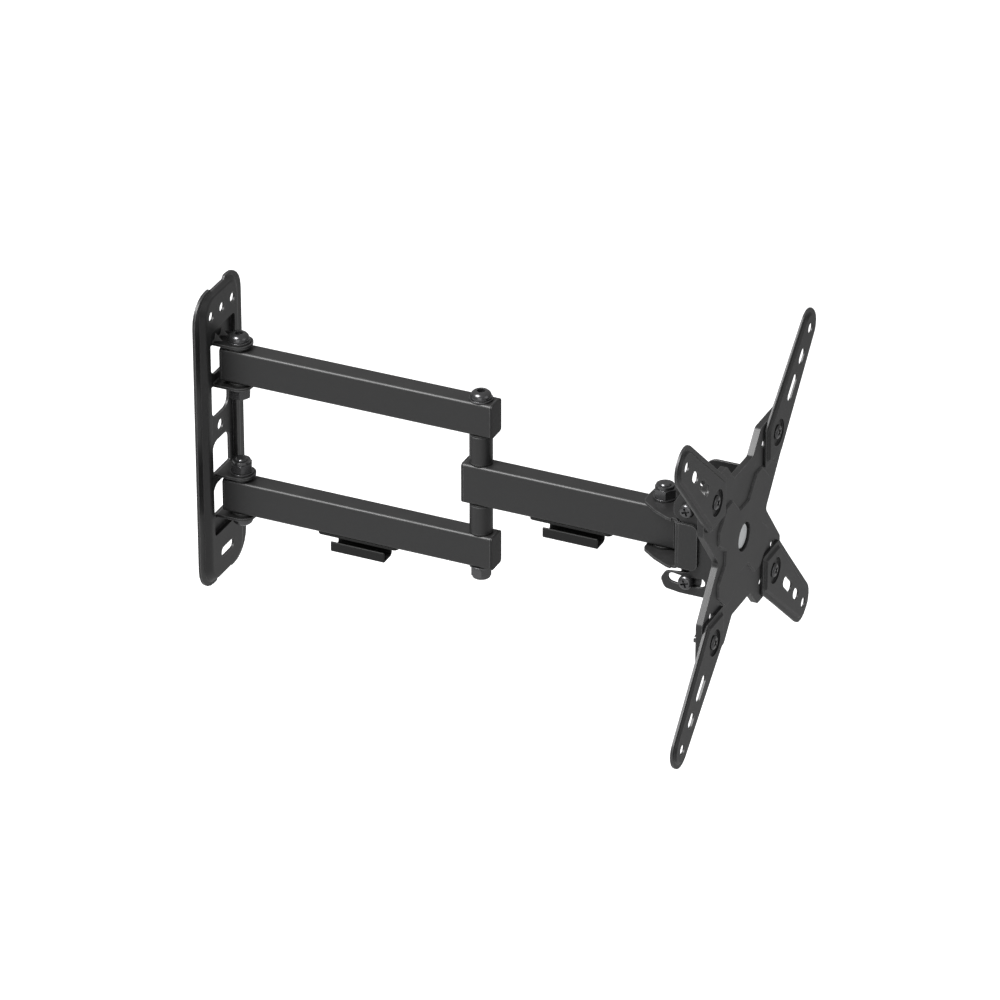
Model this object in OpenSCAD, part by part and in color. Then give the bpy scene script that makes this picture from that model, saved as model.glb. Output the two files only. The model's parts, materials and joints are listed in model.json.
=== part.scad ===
// Full motion wall mount for a flat screen.
// X runs along the wall, +Y points into the wall, +Z is up.
// The origin is the middle wall hole, on the back face of the wall plate.
// "out" is a distance from the wall into the room, so it is -Y.

/* [Reach] */
// Wall pivot axis, out from the wall
wall_axis = 16.4; // [15.8:0.1:18]
// Pivot to pivot length of the twin inner arms
inner_len = 170.7; // [150:0.1:260]
// Pivot to pivot length of the forearm
fore_len = 127; // [110:1:240]

/* [Tubes] */
// Width of every arm tube
tube_w = 15; // [14:0.5:15]
// Height of the twin inner arm tubes
inner_h = 23.5; // [20:0.5:24]
// Height of the forearm tube
fore_h = 28.5; // [24:0.5:29]
// Wall thickness of the tubes
tube_t = 1.5; // [1.2:0.1:2]
// Height of each inner arm's centre line above or below the forearm's
arm_rise = 47.9; // [47.5:0.1:50]

/* [Wall plate] */
// Overall width
plate_w = 66; // [64:1:80]
// Top edge above the middle hole
plate_top = 103; // [102:1:112]
// Bottom edge below the middle hole
plate_low = 111; // [110:1:120]
// Sheet thickness of the wall plate and of the head brackets
sheet = 1.8; // [1.5:0.1:2]
// How far the pressed panel stands off the wall
panel_out = 4.9; // [4.5:0.1:5.5]

/* [Display plate] */
// Front of the extension arms, out from the head's pan axis
display_out = 56; // [55:0.5:60]
// Hole pattern the arms reach, square
pattern = 200; // [190:5:200]
// Sheet thickness of the display plate and its arms
plate_t = 1.5; // [1.2:0.1:1.6]

/* [Hidden] */

eps = 0.01;                                 // overrun of a cut past a face
fine = 64;                                  // facets of a round part
bend_in = 1.2;                              // inner radius of a sheet bend

// pivots
elbow_axis = wall_axis + inner_len;
pan_axis = elbow_axis + fore_len;
bolt_r = 4;                                 // M8 pivot bolts
run_fit = 0.06;                             // radial clearance of a turning fit
free_fit = 0.25;                            // radial clearance of a fixed bolt
bolt_head_r = 6.9;
bolt_head_h = 4.6;
hex_nut_h = 6.4;
lock_nut_h = 8;
nut_r = 7.5;                                // to the corners of an M8 nut
nut_turn = 24;                              // how far the nuts stand turned
bolt_past_nut = 1.2;
steel_washer_r = 7.8;
steel_washer_h = 1.4;
nylon_r = 7.6;

// tubes
tube_corner = 2.2;
end_past_pivot = 10.9;
cap_flange = 1.4;
cap_plug = 2;
sleeve_r = 6;

// wall plate
ear_gap = 2.4;                              // nylon washer between an ear and its arm
ear_half_w = 9.5;
ear_past_pivot = 9.2;
panel_half_w = 20.5;
panel_top = 97.6;
panel_low = 105.6;
// pressed slope round the panel, as [side growth, end growth, drop from the front]
panel_steps = [[0, 0, 0], [1.6, 0.9, 0.2], [2.8, 1.6, 0.7], [6, 3.2, 3.1]];
pocket_half_w = 17.5;
pocket_z = 74.6;
window_half_w = 12.2;
window_r = 7;
window_far = 40;                            // round end of the outer windows
window_gap = 8.8;                           // bridge left above and below the middle hole
wall_hole_r = 3.5;
wall_hole_pitch = 15;
wall_hole_z = 86;
wall_slot_len = 18;
wall_slot_z = -91;
middle_hole_r = 4;
edge_notch_half_w = 8.6;
edge_notch_d = 3.2;
gusset_x = 4.3;
gusset_l = 4.8;
gusset_w = 4.4;

// head
nylon_pan_h = 1.9;
yoke_ear_in = fore_h / 2 + nylon_pan_h;
yoke_ear_out = yoke_ear_in + sheet;
web_in = 17.2;                              // back of the yoke's web, out from the pan axis
web_out = web_in + sheet;
wing_half_w = 24.4;
wing_half_h = 16.1;
wing_reach = 32.2;
tilt_out = 24.6;                            // tilt screws, out from the pan axis
tilt_z = 25.7;
cheek_half_w = 20.2;
cheek_half_h = 34;
web_half_h = 18.5;                          // the cheeks stand past their web, clear of the nuts
cheek_reach = web_out + 14.5;
side_half_w = 22.3;                         // outer faces of the tilt bracket
side_top = 40;
side_low = -35;
tilt_screw_r = 3;
tilt_head_r = 5;
tilt_head_h = 3.8;
cross_w = 1.3;                              // cross recess of the pan head screws
cross_l = 5.4;
cross_d = 1.6;
tilt_nut_r = 5.77;
tilt_nut_h = 5;
tilt_swing = 10.4;                          // half angle of the lock slots, degrees
slot_r = 3.2;
slot_radius = 2 * tilt_z;

hub_z = 2;                                  // the hub stands a little above the arms' middle

// display plate, from the front face of the extension arms backwards
arm_emboss = 1.5;
arm_rim_front = display_out - arm_emboss;
plate_front = arm_rim_front - plate_t - 0.1;
plate_back = plate_front - plate_t;
plate_emboss = 1.3;
cross_steps = [[0, 0.6], [0.8, 0]];         // pressed slope, as [inset, drop from the top]
flange_d = 4.5;
disc_h = 1.5;
web_front = plate_back - disc_h - 0.2;      // front of the tilt bracket's web
hub_r = 5;
hub_hole_r = 9.6;
hub_dish = 1.4;                             // how far the hub's seat is pressed back
hub_head_r = 8;
hub_head_h = 1;
hub_nut_r = 9.2;
hub_nut_h = 6;
arm_pivot = 50;                             // display arm bolts, along X and along Z
arm_bolt_r = 2.5;
dimple_r = 8.8;
arm_head_r = 4.7;
arm_head_h = 2;
arm_nut_r = 5.2;
arm_nut_h = 5.6;
tip_s = pattern / 2 * sqrt(2);
short_slot_s = tip_s - 19.2;
long_slot_s = tip_s - 40.4;
arm_hole_r = 3.6;
short_slot_len = 11;
long_slot_len = 18.6;

charcoal = [0.24, 0.24, 0.24];
soft_black = [0.13, 0.13, 0.13];
bolt_black = [0.09, 0.09, 0.09];
zinc = [0.70, 0.72, 0.73];

// ---- helpers -------------------------------------------------------------------------------

function unit(v) = v / norm(v);

// Points of one rounded corner of an outline; b is [x, y, radius].
function corner(a, b, c, n = 6) =
    let (
        p = [b[0], b[1]],
        u = unit([a[0], a[1]] - p),
        v = unit([c[0], c[1]] - p),
        half = acos(max(-1, min(1, u * v))) / 2,
        r = b[2]
    )
    r <= 0 ? [p] :
    let (
        m = p + unit(u + v) * r / sin(half),
        s = p + u * r / tan(half) - m,
        e = p + v * r / tan(half) - m,
        turn = acos(max(-1, min(1, unit(s) * unit(e)))) * sign(s[0] * e[1] - s[1] * e[0])
    )
    [for (i = [0:n]) let (t = turn * i / n)
        m + [s[0] * cos(t) - s[1] * sin(t), s[0] * sin(t) + s[1] * cos(t)]];

// An outline of [x, y, radius] corners, as plain points.
function rounded(p, n = 6) =
    let (k = len(p))
    [for (i = [0:k - 1]) each corner(p[(i + k - 1) % k], p[i], p[(i + 1) % k], n)];

// The corners of a counter-clockwise outline, moved inwards by d; each radius shrinks with it.
function inset(p, d) =
    let (k = len(p))
    [for (i = [0:k - 1])
        let (
            b = [p[i][0], p[i][1]],
            u = unit(b - [p[(i + k - 1) % k][0], p[(i + k - 1) % k][1]]),
            v = unit([p[(i + 1) % k][0], p[(i + 1) % k][1]] - b),
            side = sign(u[0] * v[1] - u[1] * v[0]),
            q = b + ([-u[1], u[0]] + [-v[1], v[0]]) * d / (1 + u * v)
        )
        [q[0], q[1], max(0, p[i][2] - side * d)]];

// The right half of an outline, from its lowest to its highest point, with its mirror image.
function both_sides(p) =
    concat(p, [for (i = [len(p) - 1:-1:0]) if (p[i][0] > 0) [-p[i][0], p[i][1], p[i][2]]]);

// Extrudes an X-Z outline from "out" a to "out" b.
module facing(a, b) {
    translate([0, -a, 0])
        rotate([90, 0, 0])
            linear_extrude(b - a)
                children();
}

// Extrudes an X-out outline from z a to z b.
module level(a, b) {
    translate([0, 0, a])
        mirror([0, 1, 0])
            linear_extrude(b - a)
                children();
}

// Extrudes an out-Z outline from x a to x b.
module upright(a, b) {
    translate([a, 0, 0])
        rotate([90, 0, 0])
            rotate([0, 90, 0])
                linear_extrude(b - a)
                    mirror([1, 0])
                        children();
}

// A cylinder standing at x, out, from z a to z b.
module post(x, out, a, b, r) {
    translate([x, -out, a])
        cylinder(h = b - a, r = r, $fn = fine);
}

// A cylinder pointing at the wall, at x and z, from "out" a to "out" b.
module peg(x, z, a, b, r, n = fine) {
    translate([x, -a, z])
        rotate([90, 0, 0])
            cylinder(h = b - a, r = r, $fn = n);
}

// A ring standing at out, from z a to z b.
module ring(out, a, b, r, bore) {
    difference() {
        post(0, out, a, b, r);
        post(0, out, a - 1, b + 1, bore);
    }
}

// A slot of length l and half width r, along X, through "out" a to b.
module slot_x(z, l, r, a, b) {
    for (side = [-1, 1])
        peg(side * (l / 2 - r), z, a, b, r);
    translate([-(l / 2 - r), -b, z - r])
        cube([l - 2 * r, b - a, 2 * r]);
}

// Button head with a hex recess, its seat at z 0, pointing up.
module button_head() {
    recess_r = 2.9;
    recess_d = 2.6;
    crown_r = 3.4;
    difference() {
        rotate_extrude($fn = fine)
            polygon(concat(
                [[0, 0], [bolt_head_r, 0], [bolt_head_r, 0.8]],
                [for (i = [1:6]) let (t = i * 15)
                    [crown_r + (bolt_head_r - crown_r) * cos(t),
                     0.8 + (bolt_head_h - 0.8) * sin(t)]],
                [[0, bolt_head_h]]));
        translate([0, 0, bolt_head_h - recess_d])
            cylinder(h = recess_d + 1, r = recess_r, $fn = 6);
    }
}

// Hexagon nut of height h with a bore, its seat at z 0; a locking nut has a round collar.
module hex_nut(h, lock) {
    body = lock ? h - 2 : h;
    chamfer = 0.55;
    difference() {
        union() {
            intersection() {
                cylinder(h = body, r = nut_r, $fn = 6);
                rotate_extrude($fn = fine)
                    polygon([[0, 0], [nut_r - 1, 0], [nut_r, chamfer],
                             [nut_r, body - chamfer], [nut_r - 1, body], [0, body]]);
            }
            if (lock)
                cylinder(h = h, r = 5.9, $fn = fine);
        }
        translate([0, 0, -1])
            cylinder(h = h + 2, r = bolt_r, $fn = fine);
    }
}

// Bolt with a button head on its seat at z 0 pointing up, its shank reaching down by l.
module button_bolt(l) {
    tip = 0.8;
    button_head();
    translate([0, 0, -l])
        rotate_extrude($fn = fine)
            polygon([[0, 0], [bolt_r - tip, 0], [bolt_r, tip], [bolt_r, l], [0, l]]);
}

// Rectangular tube from "out" a to "out" b, h tall, centred on z, drilled for its sleeves.
module tube(a, b, h, z, pivots) {
    half = tube_w / 2;
    inner_r = tube_corner - tube_t + 0.3;
    difference() {
        facing(a, b)
            translate([0, z])
                polygon(rounded([[-half, -h / 2, tube_corner], [half, -h / 2, tube_corner],
                                 [half, h / 2, tube_corner], [-half, h / 2, tube_corner]]));
        facing(a - 1, b + 1)
            translate([0, z])
                polygon(rounded(inset([[-half, -h / 2, inner_r + tube_t],
                                       [half, -h / 2, inner_r + tube_t],
                                       [half, h / 2, inner_r + tube_t],
                                       [-half, h / 2, inner_r + tube_t]], tube_t)));
        for (out = pivots)
            post(0, out, z - h, z + h, sleeve_r);
    }
}

// Moulded cap on the tube end at "out" a; dir is 1 where the cap points away from the wall.
module tube_cap(a, dir, h, z) {
    half = tube_w / 2;
    plug_gap = 0.1;
    plug_half = half - tube_t - plug_gap;
    plug_h = h / 2 - tube_t - plug_gap;
    edge = 0.8;
    low = dir > 0 ? a : a - cap_flange;
    inner = dir > 0 ? a - cap_plug : a;
    facing(low, low + cap_flange)
        translate([0, z])
            polygon(rounded([[-half, -h / 2, tube_corner], [half, -h / 2, tube_corner],
                             [half, h / 2, tube_corner], [-half, h / 2, tube_corner]]));
    facing(inner, inner + cap_plug)
        translate([0, z])
            polygon(rounded([[-plug_half, -plug_h, edge], [plug_half, -plug_h, edge],
                             [plug_half, plug_h, edge], [-plug_half, plug_h, edge]]));
}

// Clip below a tube whose underside is at z, centred at "out".
module cable_clip(out, z) {
    base_l = 57;
    base_w = 13;
    base_t = 1.8;
    tray_l = 38;
    tray_low = 13;
    lip_top = 5.6;
    wall = 1.6;
    half = base_w / 2;
    translate([0, 0, z]) {
        level(-base_t, 0)
            translate([0, out])
                polygon(rounded([[-half, -base_l / 2, 3], [half, -base_l / 2, 3],
                                 [half, base_l / 2, 3], [-half, base_l / 2, 3]]));
        facing(out - tray_l / 2, out + tray_l / 2)
            polygon(rounded([
                [half, -base_t + 0.5, 0], [half - wall, -base_t + 0.5, 0],
                [half - wall, -tray_low + wall, 1.4], [-half + wall, -tray_low + wall, 0.6],
                [-half + wall, -lip_top, 0.7], [-half, -lip_top, 0.7],
                [-half, -tray_low, 1.6], [half, -tray_low, 2.8]]));
    }
}

// ---- wall plate ----------------------------------------------------------------------------

function wall_outline() = both_sides([
    [0, -plate_low + edge_notch_d, 0],
    [edge_notch_half_w, -plate_low + edge_notch_d, 1.5],
    [edge_notch_half_w + 2, -plate_low, 2],
    [plate_w / 2, -plate_low, 18],
    [plate_w / 2, plate_top, 18],
    [edge_notch_half_w + 2, plate_top, 2],
    [edge_notch_half_w, plate_top - edge_notch_d, 1.5],
    [0, plate_top - edge_notch_d, 0]
]);

function panel_outline(step, shrink) = [
    [-panel_half_w - step[0] + shrink, -panel_low - step[1] + shrink, 12],
    [panel_half_w + step[0] - shrink, -panel_low - step[1] + shrink, 12],
    [panel_half_w + step[0] - shrink, panel_top + step[1] - shrink, 12],
    [-panel_half_w - step[0] + shrink, panel_top + step[1] - shrink, 12]
];

// Solid block of the pressed panel, its front at "out" top, moved in by shrink, back to "out" back.
module panel_block(top, shrink, back) {
    hull()
        for (step = panel_steps)
            facing(back, top - step[2])
                polygon(rounded(panel_outline(step, shrink)));
}

// One ear folded out of the plate at height z, from the plate's front face outwards; bend is 1
// where it curls up at the wall.
module wall_ear(z, bend) {
    tip = wall_axis + ear_past_pivot;
    face = bend * sheet / 2;
    intersection() {
        upright(-ear_half_w, ear_half_w)
            translate([0, z])
                polygon(concat(
                    [[sheet, -face]],
                    corner([sheet, bend * 5], [sheet, face, bend_in], [tip, face]),
                    [[tip, face], [tip, -face]]));
        level(z - 10, z + 10)
            polygon(rounded([[-ear_half_w, -1, 0], [ear_half_w, -1, 0],
                             [ear_half_w, tip, ear_half_w - 0.4],
                             [-ear_half_w, tip, ear_half_w - 0.4]]));
    }
}

// Pressed dart across the bend of the top ear, with a sharp ridge.
module ear_gusset(x, z) {
    thin = 0.05;
    translate([x, -sheet - thin, z + sheet / 2 - thin])
        hull() {
            translate([-gusset_w / 2, 0, 0])
                cube([gusset_w, thin, thin]);
            translate([-thin / 2, -gusset_l, 0])
                cube([thin, thin, thin]);
            translate([-thin / 2, 0, gusset_l])
                cube([thin, thin, thin]);
        }
}

function ear_levels() = [
    for (side = [1, -1]) [side * arm_rise + inner_h / 2 + ear_gap + sheet / 2,
                          side * arm_rise - inner_h / 2 - ear_gap - sheet / 2]
];

// A window from its square end at z near to its round end at z far.
module wall_window(near, far) {
    facing(-1, sheet + 1)
        polygon(rounded(near < far
            ? [[-window_half_w, near, 0.8], [window_half_w, near, 0.8],
               [window_half_w, far, window_r], [-window_half_w, far, window_r]]
            : [[-window_half_w, far, window_r], [window_half_w, far, window_r],
               [window_half_w, near, 0.8], [-window_half_w, near, 0.8]]));
}

// The four windows in the pocket floor that the ears were folded out of.
module wall_windows(ears) {
    half = sheet / 2;
    wall_window(ears[0][0] - half, window_far);
    wall_window(ears[0][1] - half, window_gap);
    wall_window(ears[1][0] + half, -window_gap);
    wall_window(ears[1][1] + half, -window_far);
}

module wall_plate() {
    ears = ear_levels();
    box_half = pocket_half_w + sheet;
    color(charcoal)
        difference() {
            union() {
                difference() {
                    union() {
                        facing(0, sheet)
                            polygon(rounded(wall_outline()));
                        panel_block(panel_out, 0, 0);
                    }
                    panel_block(panel_out - sheet, 0.8, -1);
                }
                facing(0, panel_out)
                    polygon([[-box_half, -pocket_z - sheet], [box_half, -pocket_z - sheet],
                             [box_half, pocket_z + sheet], [-box_half, pocket_z + sheet]]);
            }
            facing(sheet, panel_out + 1)
                polygon(rounded([[-pocket_half_w, -pocket_z, 3], [pocket_half_w, -pocket_z, 3],
                                 [pocket_half_w, pocket_z, 3], [-pocket_half_w, pocket_z, 3]]));
            wall_windows(ears);
            for (k = [-1:1])
                peg(k * wall_hole_pitch, wall_hole_z, -1, panel_out + 1, wall_hole_r);
            slot_x(wall_slot_z, wall_slot_len, wall_hole_r, -1, panel_out + 1);
            peg(0, 0, -1, panel_out + 1, middle_hole_r);
        }
}

// The four ears are one sheet with the plate, and stand as a node of their own beside it.
module wall_ears() {
    ears = ear_levels();
    color(charcoal)
        difference() {
            union() {
                for (k = [0, 1])
                    for (z = ears[k])
                        wall_ear(z, 1 - 2 * k);
                for (side = [-1, 1])
                    ear_gusset(side * gusset_x, ears[0][0]);
            }
            for (pair = ears)
                for (z = pair)
                    post(0, wall_axis, z - 3, z + 3, bolt_r + free_fit);
        }
}

// Heights of the outer faces of one arm's pair of ears.
function ear_top(side) = side * arm_rise + inner_h / 2 + ear_gap + sheet;
function ear_low(side) = side * arm_rise - inner_h / 2 - ear_gap - sheet;

module wall_bolts() {
    upper_l = ear_top(1) - ear_low(1) + 2 * steel_washer_h + hex_nut_h + bolt_past_nut + 0.6;
    lower_l = ear_top(-1) - ear_low(-1) + 2 * steel_washer_h + lock_nut_h + bolt_past_nut;
    color(bolt_black) {
        translate([0, -wall_axis, ear_top(1) + steel_washer_h])
            button_bolt(upper_l);
        translate([0, -wall_axis, ear_low(-1) - steel_washer_h])
            mirror([0, 0, 1])
                button_bolt(lower_l);
    }
}

module wall_nuts() {
    color(bolt_black) {
        translate([0, -wall_axis, ear_low(1) - steel_washer_h])
            mirror([0, 0, 1])
                rotate([0, 0, nut_turn])
                    hex_nut(hex_nut_h, false);
        translate([0, -wall_axis, ear_top(-1) + steel_washer_h])
            rotate([0, 0, nut_turn])
                hex_nut(lock_nut_h, true);
    }
}

module wall_steel_washers() {
    color(bolt_black)
        for (side = [-1, 1]) {
            ring(wall_axis, ear_top(side), ear_top(side) + steel_washer_h,
                 steel_washer_r, bolt_r + free_fit);
            ring(wall_axis, ear_low(side) - steel_washer_h, ear_low(side),
                 steel_washer_r, bolt_r + free_fit);
        }
}

module wall_nylon_washers() {
    color(soft_black)
        for (side = [-1, 1])
            for (face = [-1, 1]) {
                near = side * arm_rise + face * inner_h / 2;
                ring(wall_axis, min(near, near + face * ear_gap), max(near, near + face * ear_gap),
                     nylon_r, bolt_r + free_fit);
            }
}

// ---- inner arms ----------------------------------------------------------------------------

module inner_tube(side) {
    tube(wall_axis - end_past_pivot + cap_flange, elbow_axis + end_past_pivot - cap_flange,
         inner_h, side * arm_rise, [wall_axis, elbow_axis]);
}

module inner_caps(side) {
    tube_cap(wall_axis - end_past_pivot + cap_flange, -1, inner_h, side * arm_rise);
    tube_cap(elbow_axis + end_past_pivot - cap_flange, 1, inner_h, side * arm_rise);
}

module upper_arm_tube() {
    color(charcoal)
        inner_tube(1);
}

module lower_arm_tube() {
    color(charcoal)
        inner_tube(-1);
}

module upper_arm_caps() {
    color(charcoal)
        inner_caps(1);
}

module lower_arm_caps() {
    color(charcoal)
        inner_caps(-1);
}

module inner_arm_sleeves() {
    color(zinc)
        for (side = [-1, 1]) {
            z = side * arm_rise;
            ring(wall_axis, z - inner_h / 2, z + inner_h / 2, sleeve_r, bolt_r + run_fit);
            ring(elbow_axis, z - inner_h / 2, z + inner_h / 2, sleeve_r, bolt_r + free_fit);
        }
}

module arm_cable_clip() {
    color(soft_black)
        cable_clip(wall_axis + inner_len / 2, -arm_rise - inner_h / 2);
}

// ---- elbow ---------------------------------------------------------------------------------

elbow_top = arm_rise + inner_h / 2;
elbow_gap = arm_rise - inner_h / 2 - fore_h / 2;
elbow_nylon_h = 1.1;

module elbow_bolt() {
    color(bolt_black)
        translate([0, -elbow_axis, elbow_top + steel_washer_h])
            button_bolt(2 * elbow_top + 2 * steel_washer_h + lock_nut_h + bolt_past_nut);
}

module elbow_nut() {
    color(bolt_black)
        translate([0, -elbow_axis, -elbow_top - steel_washer_h])
            mirror([0, 0, 1])
                rotate([0, 0, nut_turn])
                    hex_nut(lock_nut_h, true);
}

module elbow_steel_washers() {
    color(bolt_black) {
        ring(elbow_axis, elbow_top, elbow_top + steel_washer_h, steel_washer_r, bolt_r + free_fit);
        ring(elbow_axis, -elbow_top - steel_washer_h, -elbow_top,
             steel_washer_r, bolt_r + free_fit);
    }
}

module elbow_spacers() {
    low = fore_h / 2 + elbow_nylon_h;
    high = fore_h / 2 + elbow_gap - elbow_nylon_h;
    color(charcoal) {
        ring(elbow_axis, low, high, nylon_r, bolt_r + free_fit);
        ring(elbow_axis, -high, -low, nylon_r, bolt_r + free_fit);
    }
}

module elbow_nylon_washers() {
    near = fore_h / 2;
    far = near + elbow_gap;
    color(soft_black)
        for (side = [-1, 1])
            for (span = [[near, near + elbow_nylon_h], [far - elbow_nylon_h, far]]) {
                a = side * span[0];
                b = side * span[1];
                ring(elbow_axis, min(a, b), max(a, b), nylon_r, bolt_r + free_fit);
            }
}

// ---- forearm -------------------------------------------------------------------------------

module forearm_tube() {
    color(charcoal)
        tube(elbow_axis - end_past_pivot + cap_flange, pan_axis + end_past_pivot - cap_flange,
             fore_h, 0, [elbow_axis, pan_axis]);
}

module forearm_caps() {
    color(charcoal) {
        tube_cap(elbow_axis - end_past_pivot + cap_flange, -1, fore_h, 0);
        tube_cap(pan_axis + end_past_pivot - cap_flange, 1, fore_h, 0);
    }
}

module forearm_sleeves() {
    color(zinc)
        for (out = [elbow_axis, pan_axis])
            ring(out, -fore_h / 2, fore_h / 2, sleeve_r, bolt_r + run_fit);
}

module forearm_cable_clip() {
    color(soft_black)
        cable_clip(elbow_axis + fore_len / 2 + 1, -fore_h / 2);
}

// ---- head ----------------------------------------------------------------------------------

// U of sheet in an out-Z or X-out plane: a web and two legs, folded with true bends.
function channel(half, web_a, web_b, leg_end, t) = [
    [-half, leg_end, 0], [-half, web_a, bend_in + t], [half, web_a, bend_in + t],
    [half, leg_end, 0], [half - t, leg_end, 0], [half - t, web_b, bend_in],
    [-half + t, web_b, bend_in], [-half + t, leg_end, 0]
];

// Plan of the yoke's ears, as the right half of its outline.
function yoke_ear_plan() = both_sides([
    [0, -10.9, 0], [9.5, -10.4, 5], [17.5, 0, 20], [24.2, 12.5, 14],
    [24.2, web_out, 0], [0, web_out, 0]
]);

module swivel_yoke() {
    relief = 3.4;
    color(charcoal)
        translate([0, -pan_axis, 0])
            difference() {
                union() {
                    intersection() {
                        upright(-wing_half_w, wing_half_w)
                            polygon(rounded([
                                for (p = channel(yoke_ear_out, web_out, web_in, -12, sheet))
                                    [p[1], p[0], p[2]]]));
                        level(-yoke_ear_out - 1, yoke_ear_out + 1)
                            polygon(rounded(yoke_ear_plan()));
                    }
                    intersection() {
                        level(-wing_half_h, wing_half_h)
                            polygon(rounded(channel(wing_half_w, web_in, web_out,
                                                    wing_reach, sheet)));
                        upright(-wing_half_w - 1, wing_half_w + 1)
                            polygon(rounded([
                                [web_in, -wing_half_h, 0], [wing_reach, -wing_half_h, 4.5],
                                [wing_reach, wing_half_h, 4.5], [web_in, wing_half_h, 0]]));
                    }
                }
                for (side = [-1, 1])
                    for (end = [-1, 1])
                        translate([side * (wing_half_w + eps) - relief / 2, -web_out - 1,
                                   end * (wing_half_h + relief / 2) - relief / 2])
                            cube([relief, sheet + 4, relief]);
                post(0, 0, -yoke_ear_out - 1, yoke_ear_out + 1, bolt_r + free_fit);
            }
}

pan_bolt_l = 2 * yoke_ear_out + 2 * steel_washer_h + lock_nut_h + bolt_past_nut;

module pan_bolt() {
    color(bolt_black)
        translate([0, -pan_axis, -yoke_ear_out - steel_washer_h])
            mirror([0, 0, 1])
                button_bolt(pan_bolt_l);
}

module pan_nut() {
    color(bolt_black)
        translate([0, -pan_axis, yoke_ear_out + steel_washer_h])
            rotate([0, 0, nut_turn])
                hex_nut(lock_nut_h, true);
}

module pan_steel_washers() {
    color(bolt_black) {
        ring(pan_axis, yoke_ear_out, yoke_ear_out + steel_washer_h,
             steel_washer_r, bolt_r + free_fit);
        ring(pan_axis, -yoke_ear_out - steel_washer_h, -yoke_ear_out,
             steel_washer_r, bolt_r + free_fit);
    }
}

module pan_nylon_washers() {
    color(soft_black) {
        ring(pan_axis, fore_h / 2, yoke_ear_in, nylon_r, bolt_r + free_fit);
        ring(pan_axis, -yoke_ear_in, -fore_h / 2, nylon_r, bolt_r + free_fit);
    }
}

// A cylinder along X, at out and z from the head's pan axis, from x a to x b.
module cross(out, z, a, b, r, n = fine) {
    translate([a, -pan_axis - out, z])
        rotate([0, 90, 0])
            cylinder(h = b - a, r = r, $fn = n);
}

// The inner bracket that the tilt screws are bolted to.
module cheek_bracket() {
    corner_r = 8;
    color(charcoal)
        difference() {
            translate([0, -pan_axis, 0])
                intersection() {
                    level(-cheek_half_h, cheek_half_h)
                        polygon(rounded(channel(cheek_half_w, web_out, web_out + sheet,
                                                cheek_reach, sheet)));
                    upright(-cheek_half_w - 1, cheek_half_w + 1)
                        polygon(rounded([
                            [web_out, -cheek_half_h, 2], [cheek_reach, -cheek_half_h, corner_r],
                            [cheek_reach, cheek_half_h, corner_r], [web_out, cheek_half_h, 2]]));
                }
            for (z = [-tilt_z, tilt_z])
                cross(tilt_out, z, -cheek_half_w - 1, cheek_half_w + 1, tilt_screw_r + run_fit);
            for (z = [-cheek_half_h - 1, web_half_h])
                translate([-cheek_half_w + sheet, -pan_axis - web_out - 5, z])
                    cube([2 * (cheek_half_w - sheet), 6, cheek_half_h + 1 - web_half_h]);
        }
}

// Pan head screw pointing up, its head's seat at z 0, with a shank of length l and radius sr.
module pan_screw(r, h, sr, l) {
    crown = r / 2;
    rise = h * 0.36;
    difference() {
        union() {
            rotate_extrude($fn = fine)
                polygon(concat(
                    [[0, 0], [r, 0], [r, rise]],
                    [for (i = [1:5]) let (t = i * 18)
                        [crown + (r - crown) * cos(t), rise + (h - rise) * sin(t)]],
                    [[0, h]]));
            translate([0, 0, -l])
                cylinder(h = l + 0.5, r = sr, $fn = fine);
        }
        for (turn = [20, 110])
            rotate([0, 0, turn])
                translate([-cross_l / 2, -cross_w / 2, h - cross_d])
                    cube([cross_l, cross_w, cross_d + 1]);
    }
}

// Pan head screw along X through one side of the head; side is 1 on +X.
module tilt_screw(z, side) {
    seat = side_half_w + 0.1;
    tail = cheek_half_w - sheet - tilt_nut_h - 1.5;
    translate([side * seat, -pan_axis - tilt_out, z])
        rotate([0, side * 90, 0])
            pan_screw(tilt_head_r, tilt_head_h, tilt_screw_r, seat - tail);
}

module tilt_screw_nut(z, side) {
    inner = cheek_half_w - sheet;
    mirror([side < 0 ? 1 : 0, 0, 0])
        difference() {
            cross(tilt_out, z, inner - tilt_nut_h, inner, tilt_nut_r, 6);
            cross(tilt_out, z, inner - tilt_nut_h - 1, inner + 1, tilt_screw_r);
        }
}

module tilt_pivot_screws() {
    color(bolt_black)
        for (side = [-1, 1])
            tilt_screw(tilt_z, side);
}

module tilt_pivot_nuts() {
    color(bolt_black)
        for (side = [-1, 1])
            tilt_screw_nut(tilt_z, side);
}

module tilt_lock_screws() {
    color(bolt_black)
        for (side = [-1, 1])
            tilt_screw(-tilt_z, side);
}

module tilt_lock_nuts() {
    color(bolt_black)
        for (side = [-1, 1])
            tilt_screw_nut(-tilt_z, side);
}

// Outline of a side of the tilt bracket, as [out from the pan axis, z, radius].
function tilt_side() = [
    [web_front - 0.01, side_low, 0], [web_front - 0.01, side_top, 0],
    [tilt_out - 3, side_top, 9], [tilt_out - 9.6, tilt_z + 3, 9],
    [tilt_out - 9.6, tilt_z - 4.5, 4], [web_out + 4, 14, 6],
    [27.8, -18.9, 4], [10, -21.3, 4], [6.8, -27, 4], [9.6, -33.6, 4], [20, side_low, 10]
];

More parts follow.
